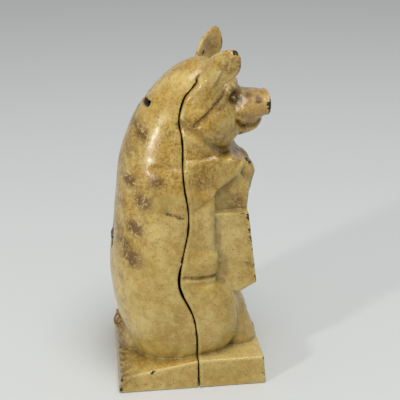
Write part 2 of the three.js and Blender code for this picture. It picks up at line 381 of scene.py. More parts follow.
def front_line(field, points, width, depth, before):
    """Presses a line of x and z points into the front, where y is less than before, on both sides."""
    at = np.array(points, float)
    reach = 3 * width
    wide = np.abs(at[:, 0]).max() + reach
    low = (-wide, -OUTSIDE, at[:, 1].min() - reach)
    high = (wide, before + MIDDLE, at[:, 1].max() + reach)
    cut, (x, y, z) = field.window(low, high, 0)
    off = near_line(at, np.abs(x), z)
    mask = 1 - smoothstep(before + MIDDLE - 2, before + MIDDLE, y)
    field.values[cut] += (depth * np.exp(-((off / width) ** 2)) * mask).astype(np.float32)


def lumps(field, size, height, seed):
    """Smooth random lumps of about the given size, up to height up or down, on a field's grid."""
    rng = np.random.default_rng(seed)
    cells = [int(count * field.voxel / size) + 4 for count in field.count]
    values = rng.uniform(-1, 1, cells).astype(np.float32)
    for axis in range(3):
        at = (field.low[axis] % size) / size + field.voxel * np.arange(field.count[axis]) / size
        base = np.floor(at).astype(int)
        part = at - base
        part = (part * part * (3 - 2 * part)).astype(np.float32)
        first = np.take(values, np.minimum(base, cells[axis] - 1), axis)
        second = np.take(values, np.minimum(base + 1, cells[axis] - 1), axis)
        weight = part.reshape([-1 if k == axis else 1 for k in range(3)])
        values = first + (second - first) * weight
    return height * values


# ---------------------------------------------------------------- the pig's outside

def along_y(stations, soft=1.0):
    """A bar along Y through stations of y, z, half width and half height, with softly rounded ends."""
    rows = np.array(stations, float)

    def distance(x, y, z):
        at = np.clip(y[0, :, 0] - MIDDLE, rows[0, 0], rows[-1, 0])
        up, wide, high = (np.interp(at, rows[:, 0], rows[:, k]).astype(np.float32) for k in (1, 2, 3))
        up, wide, high = (c[None, :, None] for c in (up, wide, high))
        u, v = np.abs(x) / wide, np.abs(z - up) / high
        g = (u**SNOUT_SQUARENESS + v**SNOUT_SQUARENESS) ** (1 / SNOUT_SQUARENESS)
        round_off = np.sqrt(x * x + (z - up) ** 2) * (1 - 1 / np.maximum(g, 0.05))
        ends = np.abs(y - MIDDLE - (rows[0, 0] + rows[-1, 0]) / 2) - (rows[-1, 0] - rows[0, 0]) / 2
        a, b = np.maximum(round_off + soft, 0), np.maximum(ends + soft, 0)
        return np.sqrt(a * a + b * b) + np.minimum(np.maximum(round_off, ends) + soft, 0) - soft

    wide, tall = rows[:, 2].max(), rows[:, 3].max()
    low = (-wide, rows[0, 0] + MIDDLE, rows[:, 1].min() - tall)
    high = (wide, rows[-1, 0] + MIDDLE, rows[:, 1].max() + tall)
    return low, high, distance


EAR_ROOT, EAR_TIP = np.array((15.5, -9.6, 141)), np.array((30, -21.4, 167.2))
EAR_ACROSS = (0.45, -0.78, -0.43)  # the way that its broad side runs, to its front edge
EAR_WIDE, EAR_THICK = 9.4, 2.9
EAR_SHIFT = 1.6  # towards the back edge
EAR_CUP = 0.035  # how strongly it curls, per millimetre
RIM = {"place": 0.58, "width": 0.8, "depth": 0.5}  # the groove inside the front edge


def ear(shrink=0.0, forward=0.0):
    """A cupped leaf that narrows to its tip, on both sides; shrink and forward make the hollow's shape."""
    up = (EAR_TIP - EAR_ROOT) / np.linalg.norm(EAR_TIP - EAR_ROOT)
    face = np.cross(EAR_ACROSS, up)
    face /= np.linalg.norm(face)
    across = np.cross(up, face)
    centre = (EAR_ROOT + EAR_TIP) / 2 + (0, MIDDLE, 0)
    half = np.linalg.norm(EAR_TIP - EAR_ROOT) / 2 - shrink
    wide, thick = EAR_WIDE - shrink, EAR_THICK - 0.3 * shrink

    def distance(x, y, z):
        p = (np.abs(x) - centre[0], y - centre[1], z - centre[2])
        u, v, w = (sum(c * float(a) for c, a in zip(p, axis)) for axis in (across, up, face))
        u = u + EAR_SHIFT
        w = w - forward - EAR_CUP * u * u
        front_edge = 0.36 + 0.64 * smoothstep(-0.3, 0.95, v / half)
        narrow = (1 - 0.32 * smoothstep(0.1, 1.1, v / half)) * np.where(u > 0, front_edge, 1)
        radii = (wide * narrow, half, thick * narrow)
        near = np.sqrt(sum((c / r) ** 2 for c, r in zip((u, v, w), radii)))
        far = np.sqrt(sum((c / r**2) ** 2 for c, r in zip((u, v, w), radii)))
        rim = np.exp(-(((u - RIM["place"] * radii[0]) / RIM["width"]) ** 2)) * (w < 0) * (shrink == 0)
        return near * (near - 1) / np.maximum(far, 1e-6) + RIM["depth"] * rim

    low, high = span(centre, np.array((15, 15, 17)), True)
    return low, high, distance


def pig():
    """The whole bank's outside but for its base and plaque, before it is parted."""
    f = Field((-36.5, -39.7, 0), (36.5, 39.7, 168.2), VOXEL)
    f.join(trunk(TRUNK)).even()
    add_head(f)
    add_ears(f)
    add_arms(f)
    add_legs(f)
    add_tail(f)
    return f


def add_head(f):
    skull = ellipsoid((0, -11, 135), (21, 14.5, 18.5))
    jowl = ellipsoid((12.5, -9, 130.5), (11, 14, 13.5), (-18, 0, 0), True)
    cheek = ellipsoid((9, -19.5, 129.5), (8.5, 8.5, 9), mirrored=True)
    f.join(skull, 5).join(jowl, 4).join(cheek, 4)

    snout = [
        (-38.6, 136.4, 9.8, 6.1), (-34, 135.5, 10.8, 7.6), (-30, 135.1, 11.8, 8.2), (-17, 135.4, 15, 11.5),
    ]
    disc = [(-41, 136.7, 9.9, 6.0), (-38.2, 136.6, 10.1, 6.3)]
    jaw = ellipsoid((0, -27.5, 126.8), (9.6, 11, 5.6), (-14, 0, 0))
    throat = ellipsoid((0, -14, 119), (13, 9, 9))
    f.join(along_y(snout), 4).join(along_y(disc, 1.2), 0.6).join(jaw, 1.2).join(throat, 5)

    brow = ellipsoid((9.5, -20, 145.5), (5.5, 4.5, 3.2), (20, 0, 0), True)
    forehead = ellipsoid((0, -18.6, 147), (11, 7.4, 5.4))
    socket = ellipsoid((13.4, -24.3, 142), (4.2, 4.2, 3.4), mirrored=True)
    eyeball = ellipsoid((10.6, -22.6, 141.6), (2.2, 2.2, 1.6), mirrored=True)
    nostril = ellipsoid((4.1, -41.4, 136.6), (1.9, 2.2, 2.4), mirrored=True)
    f.join(brow, 3).join(forehead, 3).cut(socket, 3).join(eyeball, 0.5).cut(nostril, 0.8)


def add_ears(f):
    """Ears on broad roots; their hollows face forward and in."""
    root = ellipsoid((16.4, -9.6, 146), (4.6, 7.4, 9), (24, 14, 0), True)
    f.join(root, 4).join(ear(), 2.0).cut(ear(2.6, 3.4), 1.0)


def add_arms(f):
    """Arms folded forward, and hands that rest on the plaque's top edge."""
    arm = [(2, 116.2), (-20, 116.4), (-28, 112), (-24.5, 106), (-1, 91.5), (2.2, 92.5)]
    sleeve = [(-4, 105), (-25, 107), (-29.6, 99), (-28.6, 86), (-4, 86)]
    f.join(ellipsoid((13, 6, 104.5), (14.9, 17, 12.5), mirrored=True), 6)
    f.join(planes(arm, 27.4, 2.6, sweep=0.28), 1.4)
    f.join(planes(sleeve, 20.5, 2.2, sweep=0.06), 1.2)
    f.join(cone((6.8, -26.6, 104.6), (6.8, -25.4, 97), 7.3, 6.6), 1.5)
    f.join(cone((7, -24.6, 98), (7, -21.2, 87), 7.0, 7.0), 1.5)


def add_legs(f):
    """Flanks, haunches, shins and feet; a roll of the belly rests on each thigh."""
    flank = [(8, 48), (-11.8, 50), (-11.8, 100), (8, 102)]
    thigh = [
        (5, 55.6), (-11.4, 55.4), (-16.8, 48.5), (-23.4, 33), (-22.2, 26), (-14, 19.5), (-4, 14), (8, 12),
    ]
    haunch = ellipsoid((17, -4.5, 33), (15.4, 20, 22), mirrored=True, square=2.6)
    roll = ellipsoid((18, -5.2, 63.5), (12.1, 9.2, 7.0), mirrored=True, square=3.4)
    f.join(planes(flank, 28.6, 3, sweep=0.07), 4)
    f.join(planes(thigh, 31.6, 6, sweep=0.03), 1.6)
    f.join(haunch, 2).join(roll, 3)
    f.join(cone((15, -17.5, 43), (15, -26, 20), 8, 8), 1.8)
    f.join(ellipsoid((14, -25, 17.5), (8, 10.5, 8), mirrored=True), 1.5)


def add_tail(f):
    """A tail that curls against the rump, over a low foot of metal."""
    f.join(ellipsoid((0, 28.5, 13), (12, 7.3, 8.5)), 2)
    f.join(ellipsoid((0, 29.5, 17.5), (3.6, 6.3, 11.5), square=2.5), 1)
    f.join(ring((0, 32.8, 21), 3.3, 1.9), 0.5)


def ring(at, radius, thickness):
    """A ring that lies in the plane of y and z, and rises along X as it goes round, like a pig's tail."""
    centre = (at[0], at[1] + MIDDLE, at[2])

    def distance(x, y, z):
        u, v = y - centre[1], z - centre[2]
        turn = np.arctan2(v, u) / math.pi
        off = np.sqrt((np.sqrt(u * u + v * v) - radius) ** 2 + (x - centre[0] - 1.2 * turn) ** 2)
        return off - thickness * (1 - 0.18 * turn)

    reach = radius + thickness + 1
    return (*span(centre, np.array((thickness + 2, reach, reach)), False), distance)


def carve_head(f):
    """The neck's and the ears' folds, the mouth and its lips."""
    side_line(f, [(4, 132.2), (-4, 128), (-12, 121.2), (-18, 116.6)], 1.9, 1.7, 10)
    side_line(f, [(3, 128.2), (-6, 123), (-13, 117.5)], 2.2, -1.2, 12)
    side_line(f, [(-20, 141), (-12, 138), (-3, 132.8)], 1.5, 0.9, 14)
    side_line(f, [(-8, 152), (-10, 146), (-7, 140)], 1.3, 0.6, 14)
    side_line(f, [(-18.4, 150), (-15.6, 145), (-10.8, 139.8), (-2.5, 131.6)], 1.0, 1.0, 11)
    side_line(f, [(-22.5, 120.5), (-24, 115), (-23, 111)], 1.2, 0.7, 4)

    side_line(f, [(-23.5, 131.6), (-26, 128.8), (-31, 127.4), (-35, 128.1), (-38.5, 130)], 0.9, 1.8, 1)
    side_line(f, [(-24, 134), (-28, 133), (-32, 130.8), (-36, 130.2)], 0.9, 0.5, 3)
    side_line(f, [(-26, 126.2), (-30, 124.8), (-34, 125.8)], 1.0, -0.7, 3)
    side_line(f, [(-22.5, 137), (-23.4, 131), (-25.2, 126), (-24.2, 121)], 1.4, 0.9, 6)
    side_line(f, [(-37.3, 127), (-37.3, 143)], 0.6, 0.3, 2)
    front_line(f, [(0, 128), (0, 123)], 0.8, 0.6, -34)


def carve_arms(f):
    """The shoulder, a scratch on it, the arm's lower edge, the wrist and the fingers."""
    side_line(f, [(4, 113.4), (10, 113.8), (17, 112.6)], 1.5, 0.8, 18)
    side_line(f, [(11, 91.5), (7, 90.2), (2, 89.2)], 0.5, 0.4, 20)
    side_line(f, [(-1, 91.5), (-10, 97.4), (-22, 104.5)], 0.9, 0.5, 12)
    side_line(f, [(-28.2, 104), (-28.4, 97), (-27.6, 90)], 1.0, -0.5, 10)
    side_line(f, [(-24, 103), (-24.4, 96), (-24, 90)], 1.3, 0.6, 10)
    front_line(f, [(3.6, 108), (3.4, 100), (3.8, 90)], 0.7, 0.9, -24)
    front_line(f, [(7.2, 109), (7.0, 100), (7.4, 90)], 0.7, 0.9, -24)
    front_line(f, [(10.8, 108), (10.6, 100), (11, 91)], 0.7, 0.8, -23)
    front_line(f, [(0, 112), (0, 100), (0, 88)], 0.9, 1.4, -20)


def carve_legs(f):
    """The line between the belly's roll and the thigh, and the split hooves."""
    side_line(f, [(4, 58.8), (-5, 57.7), (-13.8, 58)], 0.9, 1.2, 20)
    side_line(f, [(2, 56.9), (-5, 55.8), (-12, 55.8)], 0.9, -0.4, 20)
    side_line(f, [(-36, 22), (-33, 15)], 0.8, 0.6, 0)
    front_line(f, [(14, 22), (14, 8)], 0.8, 1.0, -28)


def fittings(f):
    """The base and the plaque block, which have crisp edges."""
    top = BASE_HALF_DEPTH - DRAFT
    base = [
        (-BASE_HALF_DEPTH, 0), (BASE_HALF_DEPTH, 0), (top, BASE_REAR_TOP),
        (PARTING[0][0], BASE_FRONT_TOP), (-top, BASE_FRONT_TOP),
    ]
    f.join(planes(base, BASE_HALF, 0.9, lean=DRAFT / BASE_FRONT_TOP), 1.2)
    f.join(planes(PLAQUE, PLAQUE_HALF, 0.7), 0.8)


def parting(f):
    """How far each point is behind the parting line, and half the gap there, which is widest at the thigh."""
    line = catmull(PARTING) + (MIDDLE, 0)
    y, z = f.axes[1][:, None], f.axes[2][None, :]
    edge = np.interp(z, line[:, 1], line[:, 0])
    off = near_line(np.array(PARTING) + (MIDDLE, 0), y, z)
    behind = np.where(y > edge, off, -off).astype(np.float32)[None]
    x, rear, low = EAR_ROOM
    room = block((x, -OUTSIDE, low), (OUTSIDE, rear, 190), 1.5, True)[2]
    behind = np.minimum(behind, room(f.axes[0][:, None, None], y[None], z[None]))
    thigh_z, thigh_spread = 55, 8
    worn = 0.36 * np.exp(-(((z - thigh_z) / thigh_spread) ** 2))
    worn = worn + 0.06 * np.sin(z / 3.1) + 0.05 * np.sin(z / 1.3)
    return behind.astype(np.float32), (0.5 * GAP + worn).astype(np.float32)[None]


# ---------------------------------------------------------------- the inside and the cuts

def chamber():
    """The coin chamber, open round the posts that the screw passes through."""
    inner = [(z, back - WALL, front + WALL, half - WALL) for z, back, front, half in TRUNK[:-1]]
    inner[0] = (FLOOR, *inner[0][1:])
    inner[-1] = (inner[-1][0] - WALL / 2, *inner[-1][1:])
    top, low, under = PLAQUE[:3]
    rear = -4
    hollow = [
        (top[0] + WALL, top[1] - WALL),
        (low[0] + WALL, low[1] + WALL / 2),
        (under[0], under[1] + WALL),
        (rear, under[1] + WALL),
        (rear, top[1] - WALL),
    ]
    f = Field((-36, -38, 3), (36, 40, 160), CHAMBER_VOXEL)
    f.join(trunk(inner)).even()
    f.join(ellipsoid((0, -9.8, 135), (16.2, 9.6, 14.4)), 2)
    f.join(ellipsoid((19, -4.5, 32), (12.2, 17.2, 19.7), mirrored=True), 1)
    f.join(planes(hollow, PLAQUE_HALF - WALL, 1.0), 0.5)
    f.values += lumps(f, *CHAMBER_LUMPS)
    f.keep(FLOOR - f.axes[2][None, None, :])
    f.cut(bar(FRONT_BOSS["radius"], -34, FRONT_BOSS["rear"]), 1.5)
    f.cut(bar(BACK_BOSS["radius"], BACK_BOSS["front"], 40), 1.5)
    return f.mesh("chamber")


def lugs():
    """Tongues on the front casting that reach past the parting line, inside the back casting."""
    f = Field((-32, -12, 20), (32, 8, 108), LUG_VOXEL)
    thick, half, reach, root, clear = LUG
    for z, rim, wall in LUG_PLACES:
        outer = wall - clear
        f.join(block((outer - thick, rim - root, z - half), (outer, rim + reach, z + half), mirrored=True))
        foot = (outer + 1.2, rim - 0.8, z + half)
        f.join(block((outer - 1.8, rim - root, z - half), foot, mirrored=True))
    return f.mesh("lugs")


def combined(name, mesh, other, how):
    """The mesh with another one added to it or taken off it."""
    made = bpy.data.objects.new(name, mesh)
    tool = bpy.data.objects.new(name + "_tool", other)
    for thing in (made, tool):
        bpy.context.scene.collection.objects.link(thing)
    step = made.modifiers.new("boolean", "BOOLEAN")
    step.object, step.operation, step.solver = tool, how, "MANIFOLD"
    done = bpy.data.meshes.new_from_object(made.evaluated_get(bpy.context.evaluated_depsgraph_get()))
    bpy.data.objects.remove(made)
    bpy.data.objects.remove(tool)
    return done


# ---------------------------------------------------------------- wear, painted light and painted shade, as numbers at each vertex

def softened(values, reach):
    """A box blur along each axis, over reach grid points each way."""
    for axis in range(3):
        total = np.cumsum(values, axis=axis, dtype=np.float64)
        count = values.shape[axis]
        high = np.minimum(np.arange(count) + reach, count - 1)
        low = np.maximum(np.arange(count) - reach - 1, 0)
        width = (high - low).reshape([-1 if k == axis else 1 for k in range(3)])
        values = ((np.take(total, high, axis) - np.take(total, low, axis)) / width).astype(np.float32)
    return values


def write(mesh, numbers):
    """Stores named numbers at the mesh's vertices."""
    for name, value in numbers.items():
        mesh.attributes.new(name, "FLOAT", "POINT").data.foreach_set("value", value.astype(np.float32))


def vertices(mesh):
    """The mesh's vertices, in millimetres, and its normals there."""
    points, normals = np.empty((2, 3 * len(mesh.vertices)), np.float32)
    mesh.vertices.foreach_get("co", points)
    mesh.vertex_normals.foreach_get("vector", normals)
    return points.reshape(-1, 3) / MM, normals.reshape(-1, 3)


# Blotches of rust under the enamel, and of painted shade on and round the tail: side (-1 is the pig's right, 0
# is both), y, z, radius and strength.
BLOTCHES = [
    # Down the right of the back.
    (-1, 23.5, 130, 3.0, 1.1), (-1, 21, 127, 3.8, 1.2), (-1, 9, 128.7, 2.6, 0.5), (-1, 26.6, 118.6, 3.4, 0.7),
    (-1, 31, 112, 2.6, 0.6), (-1, 28, 105.5, 3.0, 1.6), (-1, 15.5, 106.8, 3.0, 1.4), (-1, 22, 96.7, 3.4, 1.8),
    (-1, 32.5, 93, 2.4, 0.6), (-1, 12, 92.8, 2.4, 0.4), (-1, 26.3, 83.3, 3.6, 1.7), (-1, 34, 80, 2.4, 0.8),
    (-1, 31.6, 74, 3.2, 1.3), (-1, 28.4, 68.2, 4.0, 1.8), (-1, 24.5, 66, 2.2, 0.6), (-1, 34, 56.7, 2.2, 0.7),
    (-1, 33, 44, 2, 0.4),
    # On the right arm, sleeve and plaque.
    (-1, -5.7, 106.3, 5, 0.5), (-1, -24, 92, 4, 1.0), (-1, -28, 62, 2.5, 0.7),
    # Along the scratch under the right shoulder.
    (-1, 11, 91.5, 0.8, 2), (-1, 9.6, 91.1, 0.8, 2), (-1, 8.2, 90.6, 0.8, 2), (-1, 6.8, 90.2, 0.8, 2),
    (-1, 5.4, 89.8, 0.7, 2), (-1, 4, 89.5, 0.7, 1.6),
    # Over the left side.
    (1, 22, 124, 4, 0.7), (1, 28, 112, 4, 0.9), (1, 20, 92, 3, 0.6), (1, 30, 84, 4.5, 1.0),
    (1, 14, 66, 3, 0.5), (1, 26, 56, 4, 0.7), (1, -10, 100, 4, 0.6), (1, -26, 70, 3, 0.7),
    # Round the eyes and the nostrils, on the cheeks and the ears; the last two are painted shade on and round
    # the tail.
    (0, -23, 143.8, 3.6, 2.4), (0, -24.4, 141, 2.4, 1.6), (0, -34.6, 139.8, 1.6, 1.8), (0, -30, 142, 2.5, 0.9),
    (0, -12, 125, 4, 0.7), (0, 2, 133, 3, 0.4), (0, -17, 161, 4, 0.5), (0, 38, 22, 6, 1.6),
    (0, 38.5, 12, 7, 1.6),
]

# The fold in front of each ear, painted dark along its line as shade in the crease: y and z.
EAR_FOLD = np.array([(-22.4, 162), (-22.3, 158), (-20, 153.5), (-16.8, 146.3), (-10.8, 139.8), (-2.5, 131.6)])

# A painted highlight on the right ear.
EAR_PAINTED_HIGHLIGHT = {"y": -13.5, "z": 157, "spread": 3.6, "beyond": 17}

# Chips down to the iron: x, y, z and radius.
CHIPS = [
    # Along the plaque's right, left, top and bottom edges.
    (-24, -29.4, 86, 1.3), (-24, -30.2, 80, 1.2), (-24, -30.8, 75, 1.3), (-24, -31.6, 69, 0.9),
    (-24, -32.6, 60, 1.0), (-24, -33, 54, 1.1), (24, -29.6, 85, 1.2), (24, -31, 73, 1.4),
    (24, -32.6, 58, 1.2), (8, -28.8, 88, 1.1), (-11, -28.8, 88, 1.0), (-3, -33, 51.4, 1.2),
    (16, -33, 51.4, 1.0),
    # On the ears' tips and edges, and round the left ear's root.
    (-30, -19.8, 167.3, 1.2), (30, -19.8, 167.3, 1.1), (-30, -24, 163.6, 0.9), (-27.4, -23.6, 157, 0.7),
    (18, -4.8, 157.2, 1.3), (20.4, -8, 157.4, 1.3), (16.5, -12.5, 157.6, 1.1), (13, -3, 153, 1.0),
    # By the right eye and on the snout.
    (-13.2, -24.5, 142.3, 1.3), (-11, -23.6, 144.2, 1.1), (-10.6, -39.5, 137, 1.3), (-9.8, -41, 133, 1.3),
    (-9.4, -41, 138.5, 1.1), (9.6, -41, 135, 1.2), (4, -41.2, 129, 1.1), (-7, -37, 142.6, 0.9),
    # Round the coin slot.
    (6, 18, 145.5, 1.6), (-2, 20.6, 141.8, 1.5), (11, 19, 143, 1.2), (-9, 21.5, 141.6, 1.0),
    (3, 22.4, 137, 1.3), (-6, 25.5, 133, 1.1),
    # On the hands.
    (-8, -34.5, 104, 1.3), (-5, -34.8, 99, 1.1), (-9, -30.5, 110, 1.4), (6, -34.6, 103, 1.2),
    # On the base's edges and corners, and on the feet.
    (-36.2, -36.2, 14, 1.2), (-36.4, -36.8, 6, 1.1), (-36.4, 37, 7.6, 1.2), (-36.4, 37, 2, 1.4),
    (36.2, -36.2, 13, 1.4), (36.4, 36.4, 5, 1.3), (-36.4, 20, 10.3, 0.9), (12, -37, 14.4, 1.2),
    (-18, -37, 14.4, 1.0), (-15, -36, 19, 1.6), (-15.5, -34.5, 23, 1.2), (15, -35.5, 18, 1.6),
]


def stains_and_shade(x, y, z):
    """How rusty the blotches make each point, and how dark the painted shade on the tail and in the folds by
    the ears makes it.
    """
    stain_and_shade = np.zeros(len(x), np.float32)
    for side, sy, sz, radius, strength in BLOTCHES:
        near = ((y - sy) ** 2 + (z - sz) ** 2) / radius**2
        stain_and_shade = np.maximum(stain_and_shade, strength * np.exp(-near) * (np.sign(x) * side >= 0))
    fold = near_line(EAR_FOLD, y, z)
    # Painted shade along the fold in front of each ear.
    return np.maximum(stain_and_shade, 1.1 * np.exp(-((fold / 0.8) ** 2)) * smoothstep(10, 13, np.abs(x)))


def chips(x, y, z):
    """1 within a chip's radius, which falls to 0 at three radii."""
    chip = np.zeros(len(x), np.float32)
    for cx, cy, cz, radius in CHIPS:
        near = np.sqrt((x - cx) ** 2 + (y - cy) ** 2 + (z - cz) ** 2) / radius
        chip = np.maximum(chip, np.clip(1.5 - 0.5 * near, 0, 1))
    return chip


def wear(mesh, outside):
    """Writes the numbers that the enamel's material reads at each vertex: wear, painted light and painted
    shade.
    """
    points, normal = vertices(mesh)
    filled = np.clip(0.5 - outside.values / outside.voxel, 0, 1)
    fine = outside.sample(softened(filled, 2), points) - 0.5
    broad = outside.sample(softened(softened(filled, 5), 5), points) - 0.5
    deep = -outside.sample(outside.values, points)
    x, y, z = points[:, 0], points[:, 1] - MIDDLE, points[:, 2]

    snout = smoothstep(-24, -30, y) * smoothstep(119, 126, z)
    ears = smoothstep(147, 152, z) * smoothstep(12, 17, np.abs(x))
    inward = np.clip(-0.78 * np.sign(x) * normal[:, 0] - 0.57 * normal[:, 1] + 0.22 * normal[:, 2], 0, 1)
    # The base's top: painted light before the parting line, and painted shade behind it, under the overhanging
    # rump.
    base_top = smoothstep(0.75, 0.97, normal[:, 2]) * smoothstep(20, 16, z)
    patch = ((y - EAR_PAINTED_HIGHLIGHT["y"]) ** 2 + (z - EAR_PAINTED_HIGHLIGHT["z"]) ** 2) / EAR_PAINTED_HIGHLIGHT["spread"]
    ear_painted_highlight = 1.2 * np.exp(-patch) * (x < -EAR_PAINTED_HIGHLIGHT["beyond"])

    write(mesh, {
        "edge": np.clip(-fine * 5, 0, 1),
        "hollow": np.clip(fine * 5, 0, 0.8) + np.clip(broad * 2, 0, 0.4),
        "inside": smoothstep(0.5, 1.3, deep),
        "blush": np.maximum(0.75 * snout, 0.35 * ears * inward),
        # Older higher up and towards the back; the base's top behind the parting line gets painted shade
        # through it.
        "age_and_shade": np.maximum(0.22 + 0.78 * smoothstep(66, 112, z + 0.5 * y), 0.8 * base_top * (y > -3)),
        # Painted light on the base's top before the parting line, and a painted highlight on the right ear.
        "pale_and_painted_light": np.maximum(base_top * (y < -3), ear_painted_highlight),
        # Rust, and painted shade on the tail and in the folds by the ears.
        "stain_and_shade": stains_and_shade(x, y, z),
        "chip": chips(x, y, z),
    })


# ---------------------------------------------------------------- materials

class Paint:
    """A material's node graph, built from short calls."""

    def __init__(self, name):
        self.material = bpy.data.materials.new(name)
        self.material.use_nodes = True
        self.tree = self.material.node_tree
        self.tree.nodes.clear()
        self.shader = self.node("ShaderNodeBsdfPrincipled")
        output = self.node("ShaderNodeOutputMaterial")
        self.tree.links.new(self.shader.outputs[0], output.inputs["Surface"])
        self.place = self.node("ShaderNodeTexCoord").outputs["Object"]

    def node(self, kind, **settings):
        made = self.tree.nodes.new(kind)
        for key, value in settings.items():
            setattr(made, key, value)
        return made

    def set(self, socket, value):
        if isinstance(value, bpy.types.NodeSocket):
            self.tree.links.new(value, socket)
        elif hasattr(socket.default_value, "__len__") and not hasattr(value, "__len__"):
            socket.default_value = (value,) * len(socket.default_value)
        elif hasattr(value, "__len__") and len(value) == 3 and len(socket.default_value) == 4:
            socket.default_value = (*value, 1)
        else:
            socket.default_value = value

    def math(self, how, a, b, clamp=False):
        made = self.node("ShaderNodeMath", operation=how, use_clamp=clamp)
        self.set(made.inputs[0], a)
        self.set(made.inputs[1], b)
        return made.outputs[0]

    def mix(self, share, a, b):
        made = self.node("ShaderNodeMix", data_type="RGBA")
        self.set(made.inputs[0], share)
        self.set(made.inputs[6], a)
        self.set(made.inputs[7], b)
        return made.outputs[2]

    def times(self, a, b, clamp=False):
        """a times b."""
        return self.math("MULTIPLY", a, b, clamp)

    def noise(self, size, detail=3.0, rough=0.55, twist=0.0):
        """Noise with lumps of about size millimetres."""
        made = self.node("ShaderNodeTexNoise")
        self.set(made.inputs["Vector"], self.place)
        self.set(made.inputs["Scale"], 1000 / size)
        self.set(made.inputs["Detail"], detail)
        self.set(made.inputs["Roughness"], rough)
        self.set(made.inputs["Distortion"], twist)
        return made.outputs[0]

    def cells(self, size):
        """How far it is to the nearest of many dots, about size millimetres apart."""
        made = self.node("ShaderNodeTexVoronoi")
        self.set(made.inputs["Vector"], self.place)
        self.set(made.inputs["Scale"], 1000 / size)
        return made.outputs["Distance"]

    def step(self, value, low, high, to_low=0.0, to_high=1.0):
        """A smooth step from to_low to to_high as value goes from low to high."""
        made = self.node("ShaderNodeMapRange", interpolation_type="SMOOTHSTEP")
        for k, part in enumerate((value, low, high, to_low, to_high)):
            self.set(made.inputs[k], part)
        return made.outputs[0]

    def number(self, name):
        """A number that wear() or screw() has written at each vertex."""
        return self.node("ShaderNodeAttribute", attribute_name=name).outputs["Fac"]

    def bump(self, height, distance, strength=1.0, under=None):
        made = self.node("ShaderNodeBump")
        self.set(made.inputs["Strength"], strength)
        self.set(made.inputs["Distance"], distance * MM)
        self.set(made.inputs["Height"], height)
        if under is not None:
            self.set(made.inputs["Normal"], under)
        return made.outputs[0]


# Colours, as linear red, green and blue.
IVORY = (0.42, 0.298, 0.078)
CREAM = (0.56, 0.43, 0.155)
OCHRE = (0.34, 0.185, 0.020)
AMBER = (0.44, 0.26, 0.024)
GOLD = (0.235, 0.110, 0.008)
# Rust, also the colour of the painted shade on the tail and in the folds by the ears.
RUST_AND_SHADE = (0.115, 0.050, 0.005)
BROWN = (0.105, 0.052, 0.011)
# Darker brown for concave places.
CONCAVE_BROWN = (0.115, 0.064, 0.012)
IRON = (0.014, 0.010, 0.008)
RUSTY_IRON = (0.050, 0.024, 0.008)
BLUSH = (0.46, 0.25, 0.088)


def aged_ivory(p, age_and_shade, blotch, mottle, fine, edge):
    """Ivory, yellowed in patches and browned in smaller ones, lighter where it is rubbed; ambered as painted
    shade on the base's rear top, lightened as painted light on its front top and as a painted highlight on the
    right ear.
    """
    colour = p.mix(p.step(p.noise(26, 2), 0.38, 0.64), IVORY, CREAM)
    aged = p.math("ADD", p.step(blotch, 0.42, 0.62, 0, 0.6), p.step(mottle, 0.45, 0.62, 0, 0.55), True)
    colour = p.mix(p.times(aged, p.step(age_and_shade, 0, 1, 0.55, 1)), colour, OCHRE)
    pale_and_painted_light = p.times(p.step(mottle, 0.38, 0.50, 1, 0), p.step(fine, 0.44, 0.56))
    # Adds the painted light on the base's front top and the painted highlight on the right ear.
    pale_and_painted_light = p.math("ADD", p.times(pale_and_painted_light, 0.75), p.times(p.number("pale_and_painted_light"), 0.8), True)
    colour = p.mix(pale_and_painted_light, colour, CREAM)
    # Amber with age, and as painted shade on the base's rear top.
    colour = p.mix(p.times(age_and_shade, 0.45), colour, AMBER)
    colour = p.mix(p.times(p.number("blush"), 0.6), colour, BLUSH)
    rubbed = p.times(p.step(edge, 0.2, 0.7), p.step(mottle, 0.35, 0.6))
    return p.mix(p.times(rubbed, 0.8), colour, CREAM)


def bare_iron(p, edge):
    """Where the iron shows: in chips, on knocked edges and inside. Its colour too."""
    ragged = p.math("ADD", p.number("chip"), p.step(p.noise(1.3, 3), 0.3, 0.7, -0.4, 0.3))
    knocked = p.times(p.step(edge, 0.55, 0.95), p.step(p.noise(3.1, 4, 0.7), 0.60, 0.66))
    bare = p.math("MAXIMUM", p.step(ragged, 0.72, 0.84), knocked)
    bare = p.math("MAXIMUM", bare, p.number("inside"))
    return bare, p.mix(p.step(p.noise(2.2, 4), 0.45, 0.7, 0, 0.7), IRON, RUSTY_IRON)


